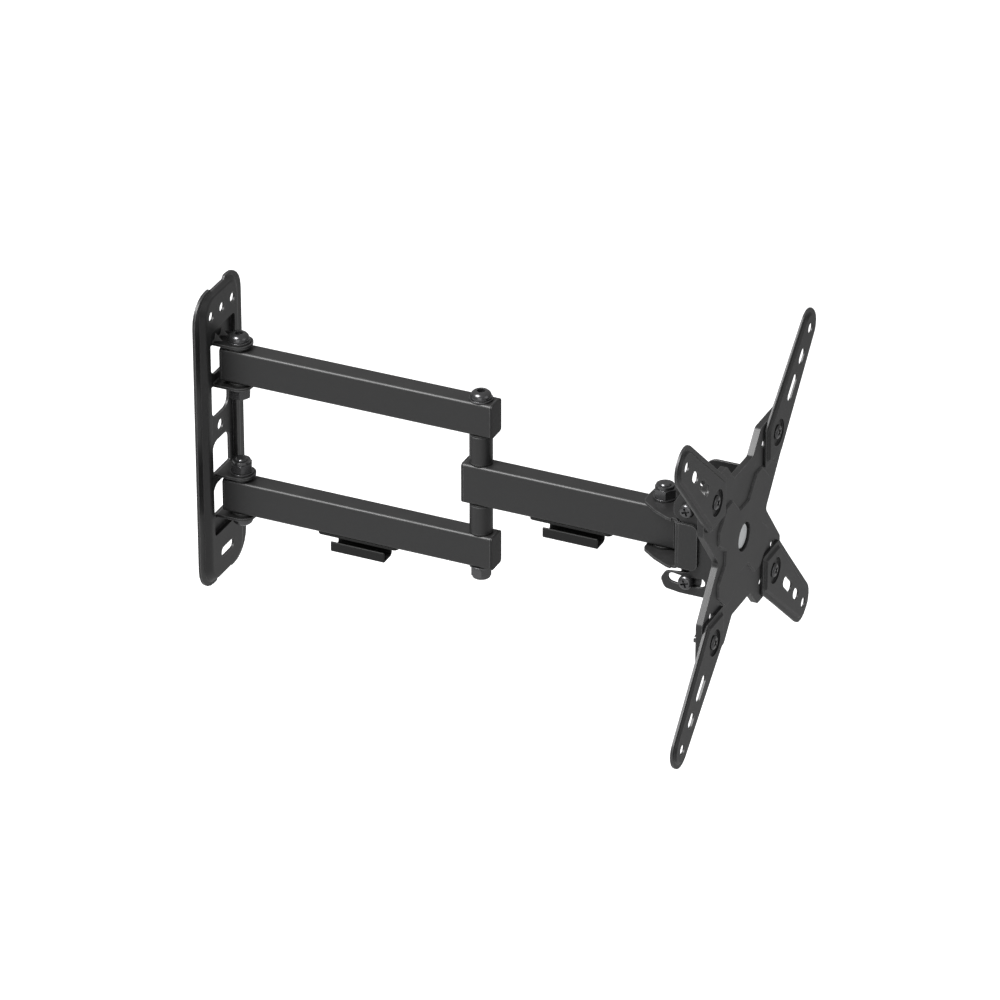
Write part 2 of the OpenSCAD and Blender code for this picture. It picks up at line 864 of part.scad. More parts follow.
// Curved slot about the tilt pivot that lets the lock screws pass, from x_low to x_high.
module tilt_slot(x_low, x_high) {
    translate([x_low, -pan_axis - tilt_out, tilt_z])
        rotate([0, 90, 0]) {
            rotate([0, 0, -tilt_swing])
                rotate_extrude(angle = 2 * tilt_swing, $fn = 192)
                    translate([slot_radius - slot_r, 0])
                        square([2 * slot_r, x_high - x_low]);
            for (side = [-1, 1])
                rotate([0, 0, side * tilt_swing])
                    translate([slot_radius, 0, 0])
                        cylinder(h = x_high - x_low, r = slot_r, $fn = fine);
        }
}

module tilt_bracket() {
    reach = side_half_w + 1;
    color(charcoal)
        difference() {
            translate([0, -pan_axis, 0])
                intersection() {
                    level(side_low, side_top)
                        polygon(rounded(channel(side_half_w, web_front, web_front - sheet,
                                                5, sheet)));
                    upright(-reach, reach)
                        polygon(rounded(tilt_side()));
                }
            cross(tilt_out, tilt_z, -reach, reach, tilt_screw_r + run_fit);
            tilt_slot(-reach, reach);
            peg(0, hub_z, pan_axis + web_front - sheet - 1, pan_axis + web_front + 1,
                hub_r + free_fit);
        }
}

// ---- display plate -------------------------------------------------------------------------

// Lifts its children from the arms' middle to the hub.
module at_hub() {
    translate([0, 0, hub_z])
        children();
}

module hub_friction_disc() {
    disc_r = 17;
    disc_bore = hub_hole_r + plate_t + 0.4;
    color(soft_black)
        difference() {
            peg(0, hub_z, pan_axis + web_front + 0.05, pan_axis + plate_back - 0.05, disc_r);
            peg(0, hub_z, pan_axis + web_front - 1, pan_axis + plate_back + 1, disc_bore);
        }
}

module hub_bolt() {
    seat = pan_axis + plate_front - hub_dish + 0.05;
    color(zinc) {
        peg(0, hub_z, seat, seat + hub_head_h, hub_head_r);
        peg(0, hub_z, pan_axis + web_front - sheet - hub_nut_h - 1, seat + 0.5, hub_r);
    }
}

module hub_nut() {
    back = pan_axis + web_front - sheet;
    color(bolt_black)
        difference() {
            peg(0, hub_z, back - hub_nut_h, back, hub_nut_r, 6);
            peg(0, hub_z, back - hub_nut_h - 1, back + 1, hub_r);
        }
}

// Right half of the display plate's outline.
function plate_outline() = both_sides([
    [0, -49, 0], [15, -49, 3], [27.5, -63.5, 4], [64, -63.5, 5], [64, -32, 4],
    [38.5, 0, 4], [64, 32, 4], [64, 63.5, 5], [27.5, 63.5, 4], [15, 49, 3], [0, 49, 0]
]);

// Right half of the raised cross on the display plate.
function cross_outline() = both_sides([
    [0, -23, 0], [7, -23, 3], [19.5, -36, 3], [28.5, -36, 3], [41, -23.5, 3], [41, -14, 3],
    [30, -4.5, 3], [30, 4.5, 3], [41, 14, 3], [41, 23.5, 3], [28.5, 36, 3], [19.5, 36, 3],
    [7, 23, 3], [0, 23, 0]
]);

module display_plate() {
    back = pan_axis + plate_back;
    front = pan_axis + plate_front;
    skirt = pan_axis + plate_back + plate_t - flange_d;
    raised = front + plate_emboss;
    color(charcoal)
        at_hub()
            difference() {
                union() {
                    difference() {
                        facing(skirt, front)
                            polygon(rounded(plate_outline()));
                        facing(skirt - 1, back)
                            polygon(rounded(inset(plate_outline(), plate_t)));
                    }
                    for (step = cross_steps)
                        facing(front - 0.1, raised - step[1])
                            polygon(rounded(inset(cross_outline(), step[0])));
                    peg(0, 0, back - hub_dish, back + 0.5, hub_hole_r + plate_t);
                }
                peg(0, 0, skirt - 1, raised + 1, hub_r + run_fit);
                peg(0, 0, front - hub_dish, raised + 1, hub_hole_r);
                for (sx = [-1, 1])
                    for (sz = [-1, 1]) {
                        peg(sx * arm_pivot, sz * arm_pivot, back - 1, raised + 1,
                            arm_bolt_r + free_fit);
                        peg(sx * 50, sz * 31.5, back - 1, raised + 1, arm_bolt_r);
                        peg(sx * 32, sz * 50, back - 1, raised + 1, arm_bolt_r);
                    }
            }
}

// Outline of a display arm, [along its diagonal, across it, radius], inset by d.
function arm_outline(d) = inset([
    [46, 0, 1.5], [64.6, -18.8, 3], [92, -16.8, 40],
    [tip_s + 12.6, -12.8, 12.4], [tip_s + 12.6, 12.8, 12.4],
    [92, 16.8, 40], [64.6, 18.8, 3]
], d);

// A slot of length l and half width r along a display arm, centred at s.
module arm_slot(s, l, a, b) {
    half = l / 2 - arm_hole_r;
    for (end = [-1, 1])
        translate([s + end * half, 0, a])
            cylinder(h = b - a, r = arm_hole_r, $fn = fine);
    translate([s - half, -arm_hole_r, a])
        cube([2 * half, 2 * arm_hole_r, b - a]);
}

// One display arm lying along +X on its back at z 0, its front facing +Z.
module display_arm() {
    rim = 3;
    slope = 1.4;
    bolt_s = arm_pivot * sqrt(2);
    full = plate_t + arm_emboss;
    difference() {
        union() {
            linear_extrude(plate_t)
                polygon(rounded(arm_outline(0)));
            hull() {
                linear_extrude(plate_t)
                    polygon(rounded(arm_outline(rim)));
                linear_extrude(full)
                    polygon(rounded(arm_outline(rim + slope)));
            }
        }
        difference() {
            translate([0, 0, -1])
                linear_extrude(1 + arm_emboss)
                    polygon(rounded(arm_outline(rim + slope)));
            translate([bolt_s, 0, -1])
                cylinder(h = 4, r = dimple_r + plate_t, $fn = fine);
        }
        translate([bolt_s, 0, plate_t])
            cylinder(h = 4, r = dimple_r, $fn = fine);
        translate([bolt_s, 0, -1])
            cylinder(h = 5, r = arm_bolt_r + free_fit, $fn = fine);
        translate([tip_s, 0, -1])
            cylinder(h = full + 2, r = arm_hole_r, $fn = fine);
        arm_slot(short_slot_s, short_slot_len, -1, full + 1);
        arm_slot(long_slot_s, long_slot_len, -1, full + 1);
    }
}

// A display arm on the plate, pointing at an angle above +X.
module placed_arm(angle) {
    color(charcoal)
        translate([0, -pan_axis - arm_rim_front + plate_t, hub_z])
            rotate([90, 0, 0])
                rotate([0, 0, angle])
                    display_arm();
}

module display_arm_upper_right() {
    placed_arm(45);
}

module display_arm_upper_left() {
    placed_arm(135);
}

module display_arm_lower_left() {
    placed_arm(225);
}

module display_arm_lower_right() {
    placed_arm(315);
}

// Places its children at the four display arm bolts.
module at_arm_bolts() {
    for (sx = [-1, 1])
        for (sz = [-1, 1])
            translate([sx * arm_pivot, 0, hub_z + sz * arm_pivot])
                children();
}

module display_arm_screws() {
    seat = pan_axis + arm_rim_front;
    grip = arm_rim_front - plate_back + arm_nut_h;
    tail = 3.4;
    color(bolt_black)
        at_arm_bolts()
            translate([0, -seat, 0])
                rotate([90, 0, 0])
                    pan_screw(arm_head_r, arm_head_h, arm_bolt_r, grip + tail);
}

module display_arm_nuts() {
    seat = pan_axis + plate_back;
    color(bolt_black)
        at_arm_bolts()
            difference() {
                peg(0, 0, seat - arm_nut_h, seat, arm_nut_r, 6);
                peg(0, 0, seat - arm_nut_h - 1, seat + 1, arm_bolt_r);
            }
}

wall_plate();
wall_ears();
wall_bolts();
wall_nuts();
wall_steel_washers();
wall_nylon_washers();
upper_arm_tube();
lower_arm_tube();
upper_arm_caps();
lower_arm_caps();
inner_arm_sleeves();
arm_cable_clip();
elbow_bolt();
elbow_nut();
elbow_steel_washers();
elbow_spacers();
elbow_nylon_washers();
forearm_tube();
forearm_caps();
forearm_sleeves();
forearm_cable_clip();
swivel_yoke();
pan_bolt();
pan_nut();
pan_steel_washers();
pan_nylon_washers();
cheek_bracket();
tilt_pivot_screws();
tilt_pivot_nuts();
tilt_lock_screws();
tilt_lock_nuts();
tilt_bracket();
hub_friction_disc();
hub_bolt();
hub_nut();
display_plate();
display_arm_upper_right();
display_arm_upper_left();
display_arm_lower_left();
display_arm_lower_right();
display_arm_screws();
display_arm_nuts();
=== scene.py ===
"""Looks of a folding wall mount for a flat screen, built around its fixed frame."""

import json
import logging
import math
from dataclasses import dataclass, field
from enum import Enum
from typing import Iterable

import bmesh
import bpy
from mathutils import Matrix, Vector

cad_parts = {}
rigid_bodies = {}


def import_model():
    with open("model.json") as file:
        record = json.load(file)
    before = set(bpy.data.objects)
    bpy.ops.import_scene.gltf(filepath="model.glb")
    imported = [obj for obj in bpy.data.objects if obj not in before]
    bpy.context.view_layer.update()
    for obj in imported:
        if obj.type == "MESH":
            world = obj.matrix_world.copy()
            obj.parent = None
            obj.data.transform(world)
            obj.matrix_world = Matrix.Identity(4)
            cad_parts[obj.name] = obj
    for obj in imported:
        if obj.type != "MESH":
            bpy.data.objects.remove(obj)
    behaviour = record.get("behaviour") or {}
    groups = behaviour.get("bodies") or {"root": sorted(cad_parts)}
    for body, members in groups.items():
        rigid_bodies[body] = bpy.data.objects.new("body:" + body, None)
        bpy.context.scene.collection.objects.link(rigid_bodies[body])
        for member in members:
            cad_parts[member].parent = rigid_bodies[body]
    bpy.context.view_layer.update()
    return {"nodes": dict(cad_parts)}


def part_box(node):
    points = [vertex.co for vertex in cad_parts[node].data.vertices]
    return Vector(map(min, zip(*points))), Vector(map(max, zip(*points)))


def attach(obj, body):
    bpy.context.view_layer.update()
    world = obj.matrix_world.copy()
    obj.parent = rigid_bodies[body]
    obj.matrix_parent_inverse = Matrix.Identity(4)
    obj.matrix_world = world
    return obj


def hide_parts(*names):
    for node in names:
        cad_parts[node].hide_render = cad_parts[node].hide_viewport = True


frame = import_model()
LOG = logging.getLogger("wall_mount")
MM = 0.001

# Meshing: welding, flattening, smoothing and rounding of a node's edges.
WELD_DISTANCE = 2e-6
FLAT_ANGLE = 0.003
SMOOTH_ANGLE = math.radians(32)
BEVEL_ANGLE = math.radians(34)
BEVEL_SEGMENTS = 2

# Screw threads: steps round a ridge, its thickness by pitch, and how far it sinks in.
RING_STEPS = 40
RIB_STEPS = 6
RIDGE_SHARE = 0.3
RIDGE_SINK = 0.12 * MM

# Shader effects: scales are in repeats per metre.
FINE_DETAIL = 2.0
BROAD_SCALE, BROAD_DETAIL = 38.0, 3.0
FINE_SHARE, BROAD_SHARE = 0.6, 0.4
NOISE_MIDDLE = 0.5
# Edge mask: a painted highlight along rounded edges, with some wear, broken into patches.
EDGE_SAMPLES = 4
EDGE_STARTS, EDGE_FULL = 0.995, 0.9
EDGE_PATCH_SCALE = 240.0
DUST_STARTS, DUST_FULL = 0.5, 1.0
DUST_SCALE, DUST_DETAIL = 60.0, 4.0
DUST_COLOUR = (0.32, 0.31, 0.30)
COAT_ROUGHNESS = 0.12
BUMP_STRENGTH = 0.5

# Sockets of a colour mix node, which share their names with its other data types.
MIX_LOW, MIX_HIGH, MIX_COLOUR = 6, 7, 2


class Coat(Enum):
    """The finishes that the mount's makers use."""

    POWDER = "charcoal_powder_coat"
    BLACKED = "black_bolt_steel"
    ZINC = "bright_zinc_steel"
    NYLON = "black_nylon"
    MOULDED = "moulded_cap_plastic"
    CLIP = "moulded_clip_plastic"


class Axis(Enum):
    """Directions that a screw thread can point along."""

    IN = (0.0, 1.0, 0.0)
    LEFT = (-1.0, 0.0, 0.0)
    RIGHT = (1.0, 0.0, 0.0)


@dataclass(frozen=True)
class Finish:
    """How one finish looks: its colour, gloss, grain, painted edge highlight with some wear, and
    dust.
    """

    slot: str
    colour: tuple[float, float, float]
    shade: tuple[float, float, float]
    roughness: float
    metallic: float = 0.0
    specular: float = 0.5
    coat: float = 0.0
    grain_scale: float = 1500.0
    grain_depth: float = 0.00003
    rough_spread: float = 0.06
    # Colour and strength along the edges: mostly a painted highlight for light caught by rounded
    # edges, with some wear.
    edge_highlight_and_worn: tuple[float, float, float] = (0.09, 0.09, 0.09)
    edge_highlight_and_wear: float = 0.35
    dust: float = 0.04


# The edge colours here are mostly painted highlight: most are far lighter than their faces,
# standing for light on rounded edges.
FINISHES: dict[Coat, Finish] = {
    Coat.POWDER: Finish("charcoal_steel", (0.0140, 0.0140, 0.0143), (0.0105, 0.0105, 0.0108), 0.42,
                        grain_scale=1300.0, grain_depth=0.00004,
                        edge_highlight_and_worn=(0.15, 0.15, 0.152), edge_highlight_and_wear=0.9),
    Coat.BLACKED: Finish("black_bolts", (0.10, 0.10, 0.103), (0.07, 0.07, 0.072), 0.25,
                         metallic=0.8, coat=0.2, grain_scale=900.0, grain_depth=0.00001,
                         edge_highlight_and_worn=(0.13, 0.13, 0.135), edge_highlight_and_wear=0.5),
    Coat.ZINC: Finish("zinc_steel", (0.86, 0.88, 0.89), (0.78, 0.80, 0.81), 0.45,
                      metallic=0.5, grain_scale=700.0, grain_depth=0.00001,
                      edge_highlight_and_worn=(0.6, 0.6, 0.6), edge_highlight_and_wear=0.3),
    Coat.NYLON: Finish("black_nylon", (0.008, 0.008, 0.008), (0.006, 0.006, 0.006), 0.5,
                       specular=0.4, grain_scale=800.0, grain_depth=0.00001, edge_highlight_and_wear=0.1),
    Coat.MOULDED: Finish("black_plastic", (0.010, 0.010, 0.0102), (0.007, 0.007, 0.0072), 0.5,
                         specular=0.35, grain_scale=2200.0, grain_depth=0.00003, edge_highlight_and_wear=0.15),
    Coat.CLIP: Finish("black_plastic", (0.006, 0.006, 0.006), (0.004, 0.004, 0.004), 0.55,
                      specular=0.3, grain_scale=2000.0, grain_depth=0.00003, edge_highlight_and_wear=0.1),
}


class NodeGroups:
    """The shader effects that several finishes share, each built once."""

    def __init__(self) -> None:
        """Builds every group."""
        self.grain = self._grain()
        # The edge mask carries a painted highlight along rounded edges, with some wear.
        self.edge_highlight_and_wear = self._edge_highlight_and_wear()
        self.dust = self._dust()

    @staticmethod
    def _open(name: str, inputs: Iterable[tuple[str, str, float]],
              outputs: Iterable[tuple[str, str]]) -> tuple:
        """Starts a group with its sockets.

        Args:
            name: the group's name.
            inputs: name, socket type and default of each input.
            outputs: name and socket type of each output.

        Returns:
            The tree, its input node and its output node.
        """
        tree = bpy.data.node_groups.new(name, "ShaderNodeTree")
        for label, kind, value in inputs:
            made = tree.interface.new_socket(label, in_out="INPUT", socket_type=kind)
            if kind == "NodeSocketFloat":
                made.default_value = value
        for label, kind in outputs:
            tree.interface.new_socket(label, in_out="OUTPUT", socket_type=kind)
        return tree, tree.nodes.new("NodeGroupInput"), tree.nodes.new("NodeGroupOutput")

    def _grain(self) -> bpy.types.NodeTree:
        """Fine orange peel: a height for the bump, a shade mask and a roughness.

        Returns:
            The group.
        """
        tree, enter, leave = self._open(
            "fine_grain",
            [("Vector", "NodeSocketVector", 0.0), ("Scale", "NodeSocketFloat", 1500.0),
             ("Rough Base", "NodeSocketFloat", 0.5), ("Rough Spread", "NodeSocketFloat", 0.05)],
            [("Height", "NodeSocketFloat"), ("Mask", "NodeSocketFloat"),
             ("Roughness", "NodeSocketFloat")])
        link = tree.links.new
        fine = tree.nodes.new("ShaderNodeTexNoise")
        fine.inputs["Detail"].default_value = FINE_DETAIL
        link(enter.outputs["Vector"], fine.inputs["Vector"])
        link(enter.outputs["Scale"], fine.inputs["Scale"])
        broad = tree.nodes.new("ShaderNodeTexNoise")
        broad.inputs["Scale"].default_value = BROAD_SCALE
        broad.inputs["Detail"].default_value = BROAD_DETAIL
        link(enter.outputs["Vector"], broad.inputs["Vector"])
        mask = tree.nodes.new("ShaderNodeMath")
        mask.operation = "MULTIPLY_ADD"
        mask.inputs[1].default_value = FINE_SHARE
        link(fine.outputs["Fac"], mask.inputs[0])
        share = tree.nodes.new("ShaderNodeMath")
        share.operation = "MULTIPLY"
        share.inputs[1].default_value = BROAD_SHARE
        link(broad.outputs["Fac"], share.inputs[0])
        link(share.outputs[0], mask.inputs[2])
        centred = tree.nodes.new("ShaderNodeMath")
        centred.operation = "SUBTRACT"
        centred.inputs[1].default_value = NOISE_MIDDLE
        link(broad.outputs["Fac"], centred.inputs[0])
        rough = tree.nodes.new("ShaderNodeMath")
        rough.operation = "MULTIPLY_ADD"
        link(centred.outputs[0], rough.inputs[0])
        link(enter.outputs["Rough Spread"], rough.inputs[1])
        link(enter.outputs["Rough Base"], rough.inputs[2])
        link(fine.outputs["Fac"], leave.inputs["Height"])
        link(mask.outputs[0], leave.inputs["Mask"])
        link(rough.outputs[0], leave.inputs["Roughness"])
        return tree

    def _edge_highlight_and_wear(self) -> bpy.types.NodeTree:
        """A mask along the edges for a painted highlight, where rounded edges would catch the
        light, and for wear, where a coat is thin or rubbed.

        Returns:
            The group.
        """
        tree, enter, leave = self._open(
            "painted_edge_highlight_and_wear",
            [("Vector", "NodeSocketVector", 0.0), ("Width", "NodeSocketFloat", 0.001),
             ("Amount", "NodeSocketFloat", 0.3)],
            [("Mask", "NodeSocketFloat")])
        link = tree.links.new
        bevel = tree.nodes.new("ShaderNodeBevel")
        bevel.samples = EDGE_SAMPLES
        link(enter.outputs["Width"], bevel.inputs["Radius"])
        shape = tree.nodes.new("ShaderNodeNewGeometry")
        dot = tree.nodes.new("ShaderNodeVectorMath")
        dot.operation = "DOT_PRODUCT"
        link(bevel.outputs["Normal"], dot.inputs[0])
        link(shape.outputs["True Normal"], dot.inputs[1])
        ramp = tree.nodes.new("ShaderNodeMapRange")
        ramp.inputs["From Min"].default_value = EDGE_STARTS
        ramp.inputs["From Max"].default_value = EDGE_FULL
        link(dot.outputs["Value"], ramp.inputs["Value"])
        patch = tree.nodes.new("ShaderNodeTexNoise")
        patch.inputs["Scale"].default_value = EDGE_PATCH_SCALE
        link(enter.outputs["Vector"], patch.inputs["Vector"])
        mixed = tree.nodes.new("ShaderNodeMath")
        mixed.operation = "MULTIPLY"
        link(ramp.outputs["Result"], mixed.inputs[0])
        link(patch.outputs["Fac"], mixed.inputs[1])
        scaled = tree.nodes.new("ShaderNodeMath")
        scaled.operation = "MULTIPLY"
        scaled.use_clamp = True
        link(mixed.outputs[0], scaled.inputs[0])
        link(enter.outputs["Amount"], scaled.inputs[1])
        link(scaled.outputs[0], leave.inputs["Mask"])
        return tree

    def _dust(self) -> bpy.types.NodeTree:
        """A thin film on what faces up, broken by a soft pattern.

        Returns:
            The group.
        """
        tree, enter, leave = self._open(
            "settled_dust",
            [("Vector", "NodeSocketVector", 0.0), ("Amount", "NodeSocketFloat", 0.05)],
            [("Mask", "NodeSocketFloat")])
        link = tree.links.new
        shape = tree.nodes.new("ShaderNodeNewGeometry")
        split = tree.nodes.new("ShaderNodeSeparateXYZ")
        link(shape.outputs["Normal"], split.inputs[0])
        ramp = tree.nodes.new("ShaderNodeMapRange")
        ramp.inputs["From Min"].default_value = DUST_STARTS
        ramp.inputs["From Max"].default_value = DUST_FULL
        link(split.outputs["Z"], ramp.inputs["Value"])
        patch = tree.nodes.new("ShaderNodeTexNoise")
        patch.inputs["Scale"].default_value = DUST_SCALE
        patch.inputs["Detail"].default_value = DUST_DETAIL
        link(enter.outputs["Vector"], patch.inputs["Vector"])
        both = tree.nodes.new("ShaderNodeMath")
        both.operation = "MULTIPLY"
        link(ramp.outputs["Result"], both.inputs[0])
        link(patch.outputs["Fac"], both.inputs[1])
        scaled = tree.nodes.new("ShaderNodeMath")
        scaled.operation = "MULTIPLY"
        scaled.use_clamp = True
        link(both.outputs[0], scaled.inputs[0])
        link(enter.outputs["Amount"], scaled.inputs[1])
        link(scaled.outputs[0], leave.inputs["Mask"])
        return tree


class PaintShop:
    """Makes each finish's material once and hands it out."""

    def __init__(self) -> None:
        """Builds the shared groups and an empty shelf of materials."""
        self.groups = NodeGroups()
        self.shelf: dict[Coat, bpy.types.Material] = {}

    def material(self, coat: Coat) -> bpy.types.Material:
        """The material of a finish, built on first use.

        Args:
            coat: which finish.

        Returns:
            Its material.
        """
        if coat not in self.shelf:
            self.shelf[coat] = self._build(coat)
        return self.shelf[coat]

    def _build(self, coat: Coat) -> bpy.types.Material:
        """Wires one finish.

        Args:
            coat: which finish.

        Returns:
            The new material.
        """
        look = FINISHES[coat]
        made = bpy.data.materials.new(coat.value)
        made.use_nodes = True
        tree = made.node_tree
        link = tree.links.new
        shader = tree.nodes["Principled BSDF"]
        shader.inputs["Metallic"].default_value = look.metallic
        shader.inputs["Specular IOR Level"].default_value = look.specular
        shader.inputs["Coat Weight"].default_value = look.coat
        shader.inputs["Coat Roughness"].default_value = COAT_ROUGHNESS
        place = tree.nodes.new("ShaderNodeTexCoord")
        grain = self._group(tree, self.groups.grain, place, {
            "Scale": look.grain_scale, "Rough Base": look.roughness,
            "Rough Spread": look.rough_spread})
        # Painted highlight along the edges, with some wear, is mixed over the grain colour.
        edge_highlight_and_wear = self._group(tree, self.groups.edge_highlight_and_wear, place, {"Amount": look.edge_highlight_and_wear})
        dust = self._group(tree, self.groups.dust, place, {"Amount": look.dust})
        base = self._mix(tree, look.shade, look.colour, grain.outputs["Mask"])
        edge_highlight_and_worn = self._mix(tree, None, look.edge_highlight_and_worn, edge_highlight_and_wear.outputs["Mask"])
        link(base.outputs[MIX_COLOUR], edge_highlight_and_worn.inputs[MIX_LOW])
        dusty = self._mix(tree, None, DUST_COLOUR, dust.outputs["Mask"])
        link(edge_highlight_and_worn.outputs[MIX_COLOUR], dusty.inputs[MIX_LOW])
        link(dusty.outputs[MIX_COLOUR], shader.inputs["Base Color"])
        link(grain.outputs["Roughness"], shader.inputs["Roughness"])
        bump = tree.nodes.new("ShaderNodeBump")
        bump.inputs["Strength"].default_value = BUMP_STRENGTH
        bump.inputs["Distance"].default_value = look.grain_depth
        link(grain.outputs["Height"], bump.inputs["Height"])
        link(bump.outputs["Normal"], shader.inputs["Normal"])
        return made

    @staticmethod
    def _group(tree: bpy.types.NodeTree, group: bpy.types.NodeTree, place: bpy.types.Node,
               values: dict[str, float]) -> bpy.types.Node:
        """Places a shared group in a material with its own values.

        Args:
            tree: the material's tree.
            group: the shared group.
            place: the node that gives the object's own coordinates.
            values: the group's inputs to set, by name.

        Returns:
            The placed node.
        """
        node = tree.nodes.new("ShaderNodeGroup")
        node.node_tree = group
        tree.links.new(place.outputs["Object"], node.inputs["Vector"])
        for label, value in values.items():
            node.inputs[label].default_value = value
        return node

    @staticmethod
    def _mix(tree: bpy.types.NodeTree, low: tuple | None, high: tuple,
             mask: bpy.types.NodeSocket) -> bpy.types.Node:
        """A colour mix from low to high by a mask.

        Args:
            tree: the material's tree.
            low: the colour where the mask is 0; None if another node gives it.
            high: the colour where the mask is 1.
            mask: the socket that drives the mix.

        Returns:
            The mix node.
        """
        node = tree.nodes.new("ShaderNodeMix")
        node.data_type = "RGBA"
        if low is not None:
            node.inputs[MIX_LOW].default_value = (*low, 1.0)
        node.inputs[MIX_HIGH].default_value = (*high, 1.0)
        tree.links.new(mask, node.inputs[0])
        return node


class ThreadCutter:
    """A Geometry Nodes tree that repeats one ridge along a screw's end."""

    def __init__(self) -> None:
        """Builds the tree with its named inputs."""
        tree = bpy.data.node_groups.new("screw_thread", "GeometryNodeTree")
        self.tree = tree
        self.ids: dict[str, str] = {}
        for label, kind in (("Radius", "NodeSocketFloat"), ("Ridge", "NodeSocketFloat"),
                            ("Pitch", "NodeSocketFloat"), ("Count", "NodeSocketInt"),
                            ("Material", "NodeSocketMaterial")):
            made = tree.interface.new_socket(label, in_out="INPUT", socket_type=kind)
            self.ids[label] = made.identifier
        tree.interface.new_socket("Geometry", in_out="OUTPUT", socket_type="NodeSocketGeometry")
        new, link = tree.nodes.new, tree.links.new
        enter, leave = new("NodeGroupInput"), new("NodeGroupOutput")
        path = new("GeometryNodeCurvePrimitiveCircle")
        path.inputs["Resolution"].default_value = RING_STEPS
        link(enter.outputs["Radius"], path.inputs["Radius"])
        rib = new("GeometryNodeCurvePrimitiveCircle")
        rib.inputs["Resolution"].default_value = RIB_STEPS
        link(enter.outputs["Ridge"], rib.inputs["Radius"])
        sweep = new("GeometryNodeCurveToMesh")
        link(path.outputs["Curve"], sweep.inputs["Curve"])
        link(rib.outputs["Curve"], sweep.inputs["Profile Curve"])
        step = new("ShaderNodeCombineXYZ")
        link(enter.outputs["Pitch"], step.inputs["Z"])
        row = new("GeometryNodeMeshLine")
        link(enter.outputs["Count"], row.inputs["Count"])
        link(step.outputs[0], row.inputs["Offset"])
        repeat = new("GeometryNodeInstanceOnPoints")
        link(row.outputs["Mesh"], repeat.inputs["Points"])
        link(sweep.outputs["Mesh"], repeat.inputs["Instance"])
        real = new("GeometryNodeRealizeInstances")
        link(repeat.outputs["Instances"], real.inputs["Geometry"])
        smooth = new("GeometryNodeSetShadeSmooth")
        link(real.outputs["Geometry"], smooth.inputs["Geometry"])
        dress = new("GeometryNodeSetMaterial")
        link(smooth.outputs["Geometry"], dress.inputs["Geometry"])
        link(enter.outputs["Material"], dress.inputs["Material"])
        link(dress.outputs["Geometry"], leave.inputs["Geometry"])

    def cut(self, radius: float, pitch: float, count: int,
            material: bpy.types.Material) -> bpy.types.Mesh:
        """Makes one end's ridges, from z 0 upwards.

        Args:
            radius: the shank's radius.
            pitch: distance between ridges.
            count: number of ridges.
            material: what they are dressed in.

        Returns:
            A plain mesh.
        """
        holder = bpy.data.objects.new("thread_work", bpy.data.meshes.new("thread_work"))
        bpy.context.scene.collection.objects.link(holder)
        nodes = holder.modifiers.new("thread", "NODES")
        nodes.node_group = self.tree
        for label, value in (("Radius", radius), ("Ridge", pitch * RIDGE_SHARE),
                             ("Pitch", pitch), ("Count", count), ("Material", material)):
            nodes[self.ids[label]] = value
        graph = bpy.context.evaluated_depsgraph_get()
        mesh = bpy.data.meshes.new_from_object(holder.evaluated_get(graph), depsgraph=graph)
        holder.modifiers.clear()
        bpy.data.objects.remove(holder)
        return mesh


@dataclass(frozen=True)
class ThreadEnd:
    """Where a screw's thread shows: its start, direction, radius, length and pitch."""

    start: tuple[float, float, float]
    axis: Axis
    radius: float
    length: float
    pitch: float = 1.0 * MM


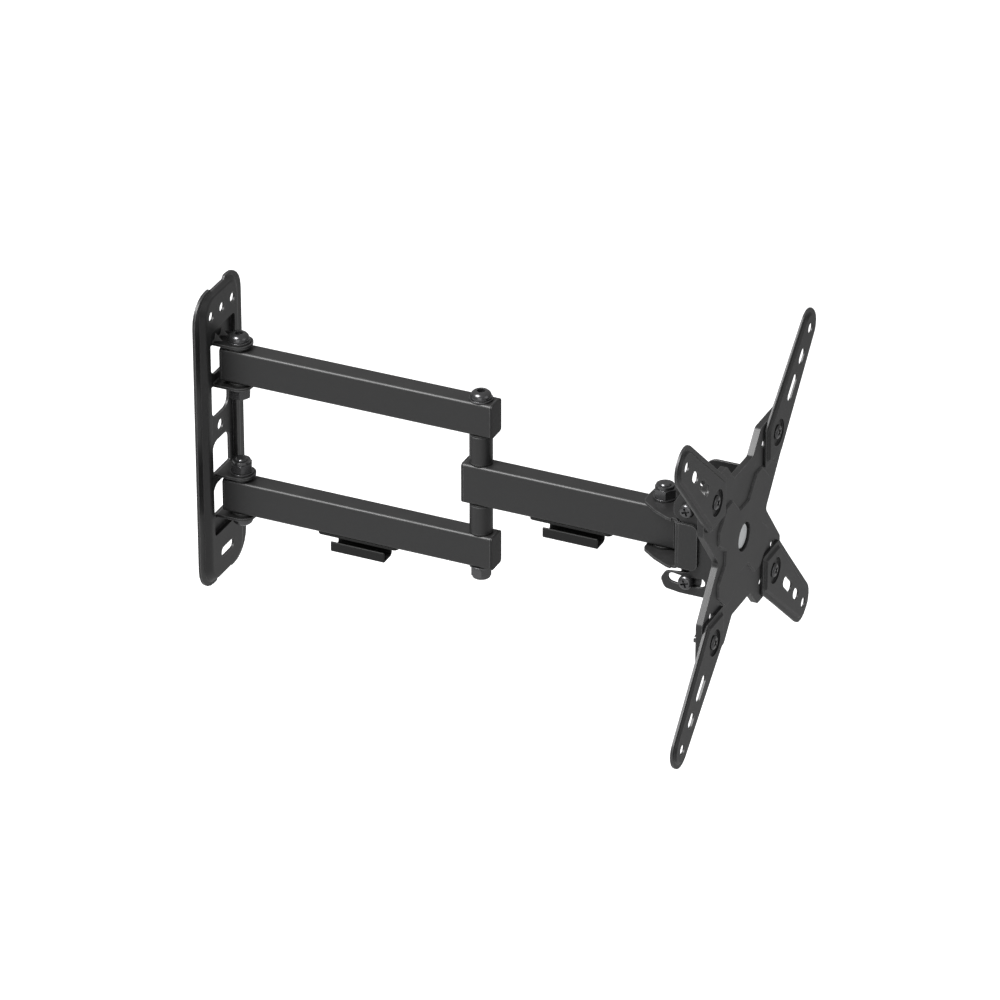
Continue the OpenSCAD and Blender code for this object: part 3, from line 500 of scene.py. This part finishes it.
@dataclass
class SubAssembly:
    """One rigid group of the mount: refines its nodes and rides them on its body."""

    shop: PaintShop
    cutter: ThreadCutter
    body: str = ""
    nodes: dict[str, tuple[Coat, float]] = field(default_factory=dict)

    def build(self) -> list[str]:
        """Builds every piece of the group.

        Returns:
            The names of the pieces made.
        """
        made = [self.refine(node, coat, edge) for node, (coat, edge) in self.nodes.items()]
        ends = self.threads()
        if ends:
            made.append(self.cut_threads(ends))
        return made

    def threads(self) -> list[ThreadEnd]:
        """The screw ends that show; none unless a group has some."""
        return []

    def refine(self, node: str, coat: Coat, edge: float) -> str:
        """Makes a node's finished piece: merged, with rounded edges and smooth curves.

        Args:
            node: the node's name.
            coat: its finish.
            edge: width of the rounding on its edges.

        Returns:
            The piece's name.
        """
        source = frame["nodes"][node]
        mesh = source.data.copy()
        shape = bmesh.new()
        shape.from_mesh(mesh)
        bmesh.ops.remove_doubles(shape, verts=shape.verts, dist=WELD_DISTANCE)
        bmesh.ops.dissolve_limit(shape, angle_limit=FLAT_ANGLE, verts=shape.verts,
                                 edges=shape.edges)
        shape.to_mesh(mesh)
        shape.free()
        for stale in ("sharp_face", "custom_normal"):
            if stale in mesh.attributes:
                mesh.attributes.remove(mesh.attributes[stale])
        mesh.shade_smooth()
        mesh.set_sharp_from_angle(angle=SMOOTH_ANGLE)
        work = bpy.data.objects.new(node + "_finished", mesh)
        bpy.context.scene.collection.objects.link(work)
        bevel = work.modifiers.new("edges", "BEVEL")
        bevel.width = edge
        bevel.segments = BEVEL_SEGMENTS
        bevel.limit_method = "ANGLE"
        bevel.angle_limit = BEVEL_ANGLE
        bevel.use_clamp_overlap = True
        level = work.modifiers.new("flat", "WEIGHTED_NORMAL")
        level.keep_sharp = False
        graph = bpy.context.evaluated_depsgraph_get()
        final = bpy.data.meshes.new_from_object(work.evaluated_get(graph), depsgraph=graph)
        final.name = node + "_finished"
        work.modifiers.clear()
        work.data = final
        final.materials.clear()
        final.materials.append(self.shop.material(coat))
        for face in final.polygons:
            face.material_index = 0
        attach(work, self.body)
        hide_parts(node)
        return work.name

    def cut_threads(self, ends: list[ThreadEnd]) -> str:
        """Joins the ridges of every screw end into one piece.

        Args:
            ends: where each thread shows.

        Returns:
            The piece's name.
        """
        steel = self.shop.material(Coat.BLACKED)
        joined = bmesh.new()
        for end in ends:
            ridge = self.cutter.cut(end.radius - RIDGE_SINK, end.pitch,
                                    max(1, int(end.length / end.pitch)), steel)
            turn = Vector((0, 0, 1)).rotation_difference(Vector(end.axis.value)).to_matrix()
            ridge.transform(Matrix.Translation(end.start) @ turn.to_4x4())
            joined.from_mesh(ridge)
            bpy.data.meshes.remove(ridge)
        mesh = bpy.data.meshes.new(self.body + "_threads")
        joined.to_mesh(mesh)
        joined.free()
        mesh.materials.append(steel)
        mesh.shade_smooth()
        piece = bpy.data.objects.new(self.body + "_threads", mesh)
        bpy.context.scene.collection.objects.link(piece)
        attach(piece, self.body)
        return piece.name


@dataclass
class WallPlate(SubAssembly):
    """The pressed plate with its ears, and the two pivot bolts it carries."""

    body: str = "wall"
    nodes: dict[str, tuple[Coat, float]] = field(default_factory=lambda: {
        "wall_plate": (Coat.POWDER, 0.4 * MM),
        "wall_ears": (Coat.POWDER, 0.3 * MM),
        "wall_bolts": (Coat.BLACKED, 0.25 * MM),
        "wall_nuts": (Coat.BLACKED, 0.3 * MM),
        "wall_steel_washers": (Coat.BLACKED, 0.25 * MM),
    })


@dataclass
class InnerArms(SubAssembly):
    """The twin tubes with their caps, sleeves and clip, and the elbow's bolt."""

    body: str = "inner_arm"
    nodes: dict[str, tuple[Coat, float]] = field(default_factory=lambda: {
        "upper_arm_tube": (Coat.POWDER, 0.3 * MM),
        "lower_arm_tube": (Coat.POWDER, 0.3 * MM),
        "upper_arm_caps": (Coat.MOULDED, 0.4 * MM),
        "lower_arm_caps": (Coat.MOULDED, 0.4 * MM),
        "inner_arm_sleeves": (Coat.ZINC, 0.2 * MM),
        "wall_nylon_washers": (Coat.NYLON, 0.3 * MM),
        "arm_cable_clip": (Coat.CLIP, 0.4 * MM),
        "elbow_bolt": (Coat.BLACKED, 0.25 * MM),
        "elbow_nut": (Coat.BLACKED, 0.3 * MM),
        "elbow_steel_washers": (Coat.BLACKED, 0.25 * MM),
        "elbow_spacers": (Coat.POWDER, 0.3 * MM),
        "elbow_nylon_washers": (Coat.NYLON, 0.2 * MM),
    })


@dataclass
class Forearm(SubAssembly):
    """The single tube with its caps, sleeves and clip."""

    body: str = "forearm"
    nodes: dict[str, tuple[Coat, float]] = field(default_factory=lambda: {
        "forearm_tube": (Coat.POWDER, 0.3 * MM),
        "forearm_caps": (Coat.MOULDED, 0.4 * MM),
        "forearm_sleeves": (Coat.ZINC, 0.2 * MM),
        "forearm_cable_clip": (Coat.CLIP, 0.4 * MM),
    })


@dataclass
class SwivelHead(SubAssembly):
    """The yoke that pans on the forearm, with the cheeks that hold the tilt screws."""

    body: str = "swivel_head"
    screw_radius: float = 3 * MM
    screw_tail: float = 1.4 * MM
    nut_gap: float = 0.4 * MM
    nodes: dict[str, tuple[Coat, float]] = field(default_factory=lambda: {
        "swivel_yoke": (Coat.POWDER, 0.35 * MM),
        "cheek_bracket": (Coat.POWDER, 0.35 * MM),
        "pan_bolt": (Coat.BLACKED, 0.25 * MM),
        "pan_nut": (Coat.BLACKED, 0.3 * MM),
        "pan_steel_washers": (Coat.BLACKED, 0.25 * MM),
        "pan_nylon_washers": (Coat.NYLON, 0.3 * MM),
        "tilt_pivot_screws": (Coat.BLACKED, 0.2 * MM),
        "tilt_pivot_nuts": (Coat.BLACKED, 0.3 * MM),
        "tilt_lock_screws": (Coat.BLACKED, 0.2 * MM),
        "tilt_lock_nuts": (Coat.BLACKED, 0.3 * MM),
    })

    def threads(self) -> list[ThreadEnd]:
        """The tilt screws' ends, inside their nuts.

        Returns:
            One end for each screw.
        """
        ends = []
        for node in ("tilt_pivot_nuts", "tilt_lock_nuts"):
            low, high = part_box(node)
            inner = _inner_gap(node)
            for side, axis in ((-1, Axis.RIGHT), (1, Axis.LEFT)):
                start = (side * (inner - self.nut_gap), (low.y + high.y) / 2,
                         (low.z + high.z) / 2)
                ends.append(ThreadEnd(start, axis, self.screw_radius, self.screw_tail))
        return ends


@dataclass
class TiltHead(SubAssembly):
    """The bracket that tilts on the cheeks, with the hub that the cross plate turns on."""

    body: str = "tilt_head"
    nodes: dict[str, tuple[Coat, float]] = field(default_factory=lambda: {
        "tilt_bracket": (Coat.POWDER, 0.35 * MM),
        "hub_friction_disc": (Coat.NYLON, 0.2 * MM),
        "hub_bolt": (Coat.ZINC, 0.3 * MM),
        "hub_nut": (Coat.BLACKED, 0.3 * MM),
    })


@dataclass
class ScreenCarrier(SubAssembly):
    """The cross plate and its four corner arms, with the screws that hold them."""

    body: str = "screen_carrier"
    screw_radius: float = 2.5 * MM
    screw_pitch: float = 0.8 * MM
    nut_half: float = 5.2 * MM
    nut_gap: float = 0.4 * MM
    tip_gap: float = 0.3 * MM
    nodes: dict[str, tuple[Coat, float]] = field(default_factory=lambda: {
        "display_plate": (Coat.POWDER, 0.4 * MM),
        "display_arm_upper_right": (Coat.POWDER, 0.3 * MM),
        "display_arm_upper_left": (Coat.POWDER, 0.3 * MM),
        "display_arm_lower_left": (Coat.POWDER, 0.3 * MM),
        "display_arm_lower_right": (Coat.POWDER, 0.3 * MM),
        "display_arm_screws": (Coat.BLACKED, 0.2 * MM),
        "display_arm_nuts": (Coat.BLACKED, 0.25 * MM),
    })

    def threads(self) -> list[ThreadEnd]:
        """The corner screws' ends, behind their nuts.

        Returns:
            One end for each screw.
        """
        low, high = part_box("display_arm_nuts")
        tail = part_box("display_arm_screws")[1].y
        reach = (high.x - low.x) / 2 - self.nut_half
        hub_z = (low.z + high.z) / 2
        return [ThreadEnd((sx * reach, high.y + self.nut_gap, hub_z + sz * reach), Axis.IN,
                          self.screw_radius, tail - high.y - self.tip_gap, self.screw_pitch)
                for sx in (-1, 1) for sz in (-1, 1)]


def _inner_gap(node: str) -> float:
    """Smallest distance of a node's points from the middle plane.

    Args:
        node: a node that has a copy on each side.

    Returns:
        That distance along X.
    """
    return min(abs(v.co.x) for v in frame["nodes"][node].data.vertices)


@dataclass(frozen=True)
class Lamp:
    """One square light: its direction and distance from the mount, its size and power."""

    name: str
    way: tuple[float, float, float]
    distance: float
    size: float
    power: float


LAMPS = (
    Lamp("key_softbox", (-0.49, 0.33, 0.80), 2.2, 1.1, 78.0),
    Lamp("left_fill", (-1.0, -0.15, 0.15), 2.6, 1.8, 12.0),
    Lamp("room_fill", (-0.1, -1.0, 0.35), 2.8, 1.8, 9.0),
)


@dataclass
class Studio:
    """Floor, lights and camera."""

    azimuth: float = -65.60
    elevation: float = 29.192
    lens: float = 226.57
    sensor: float = 36.0
    near: float = 0.1
    far: float = 100.0
    eye: tuple[float, float, float] = (-3.18514, -1.64508, 1.94356)
    lit_point: tuple[float, float, float] = (0.0, -0.19, 0.0)
    air_strength: float = 0.34
    floor_z: float = -0.62
    floor_half: float = 40.0
    floor_pale: float = 0.93
    floor_bounce: float = 0.58
    floor_glow: float = 0.6
    floor_roughness: float = 0.9
    floor_specular: float = 0.1

    def build(self) -> list[str]:
        """Sets up the studio.

        Returns:
            The names of what was made.
        """
        self._view_settings()
        return [self._floor(), *self._lights(), self._camera()]

    def _view_settings(self) -> None:
        """A plain display transform and an even white surround."""
        scene = bpy.context.scene
        scene.view_settings.view_transform = "Standard"
        scene.view_settings.look = "None"
        world = bpy.data.worlds.new("studio_air")
        world.use_nodes = True
        back = world.node_tree.nodes["Background"]
        back.inputs["Color"].default_value = (1.0, 1.0, 1.0, 1.0)
        back.inputs["Strength"].default_value = self.air_strength
        scene.world = world

    def _floor(self) -> str:
        """A large pale plane, seen from above only.

        Returns:
            The floor's name.
        """
        mesh = bpy.data.meshes.new("floor")
        half = self.floor_half
        mesh.from_pydata([(-half, -half, self.floor_z), (half, -half, self.floor_z),
                          (half, half, self.floor_z), (-half, half, self.floor_z)],
                         [], [(0, 1, 2, 3)])
        floor = bpy.data.objects.new("floor", mesh)
        bpy.context.scene.collection.objects.link(floor)
        mesh.materials.append(self._floor_paint())
        return floor.name

    def _floor_paint(self) -> bpy.types.Material:
        """Pale to look at, dimmer in reflections, and clear from below.

        Returns:
            The floor's material.
        """
        paint = bpy.data.materials.new("pale_floor")
        paint.use_nodes = True
        tree = paint.node_tree
        link = tree.links.new
        dim = tree.nodes["Principled BSDF"]
        pale = tree.nodes.new("ShaderNodeBsdfPrincipled")
        for shader, shade, glow in ((dim, self.floor_bounce, 0.0),
                                    (pale, self.floor_pale, self.floor_glow)):
            shader.inputs["Base Color"].default_value = (shade, shade, shade, 1.0)
            shader.inputs["Roughness"].default_value = self.floor_roughness
            shader.inputs["Specular IOR Level"].default_value = self.floor_specular
            shader.inputs["Emission Color"].default_value = (1.0, 1.0, 1.0, 1.0)
            shader.inputs["Emission Strength"].default_value = glow
        sight = tree.nodes.new("ShaderNodeLightPath")
        seen = tree.nodes.new("ShaderNodeMixShader")
        link(sight.outputs["Is Camera Ray"], seen.inputs[0])
        link(dim.outputs[0], seen.inputs[1])
        link(pale.outputs[0], seen.inputs[2])
        clear = tree.nodes.new("ShaderNodeBsdfTransparent")
        shape = tree.nodes.new("ShaderNodeNewGeometry")
        choose = tree.nodes.new("ShaderNodeMixShader")
        link(shape.outputs["Backfacing"], choose.inputs[0])
        link(seen.outputs[0], choose.inputs[1])
        link(clear.outputs[0], choose.inputs[2])
        link(choose.outputs[0], tree.nodes["Material Output"].inputs["Surface"])
        return paint

    def _lights(self) -> list[str]:
        """An overhead softbox, a side fill and a front fill.

        Returns:
            The lights' names.
        """
        target = Vector(self.lit_point)
        for lamp in LAMPS:
            data = bpy.data.lights.new(lamp.name, "AREA")
            data.shape = "SQUARE"
            data.size = lamp.size
            data.energy = lamp.power
            hung = bpy.data.objects.new(lamp.name, data)
            bpy.context.scene.collection.objects.link(hung)
            hung.location = target + Vector(lamp.way).normalized() * lamp.distance
            hung.rotation_euler = (target - hung.location).to_track_quat("-Z", "Y").to_euler()
        return [lamp.name for lamp in LAMPS]

    def _camera(self) -> str:
        """A long lens from the left, above the mount, looking towards the wall.

        Returns:
            The camera's name.
        """
        a, e = math.radians(self.azimuth), math.radians(self.elevation)
        back = Vector((math.sin(a) * math.cos(e), -math.cos(a) * math.cos(e), math.sin(e)))
        data = bpy.data.cameras.new("camera")
        data.lens = self.lens
        data.sensor_width = self.sensor
        data.clip_start, data.clip_end = self.near, self.far
        camera = bpy.data.objects.new("camera", data)
        bpy.context.scene.collection.objects.link(camera)
        camera.location = self.eye
        camera.rotation_euler = (-back).to_track_quat("-Z", "Y").to_euler()
        bpy.context.scene.camera = camera
        return camera.name


def main() -> None:
    """Builds every group in order and reports its pieces."""
    logging.basicConfig(level=logging.INFO, format="%(name)s: %(message)s")
    shop, cutter = PaintShop(), ThreadCutter()
    for group in (WallPlate(shop, cutter), InnerArms(shop, cutter), Forearm(shop, cutter),
                  SwivelHead(shop, cutter), TiltHead(shop, cutter), ScreenCarrier(shop, cutter)):
        for piece in group.build():
            LOG.info("%s: %s", group.body, piece)
    for piece in Studio().build():
        LOG.info("studio: %s", piece)


if __name__ == "__main__":
    main()
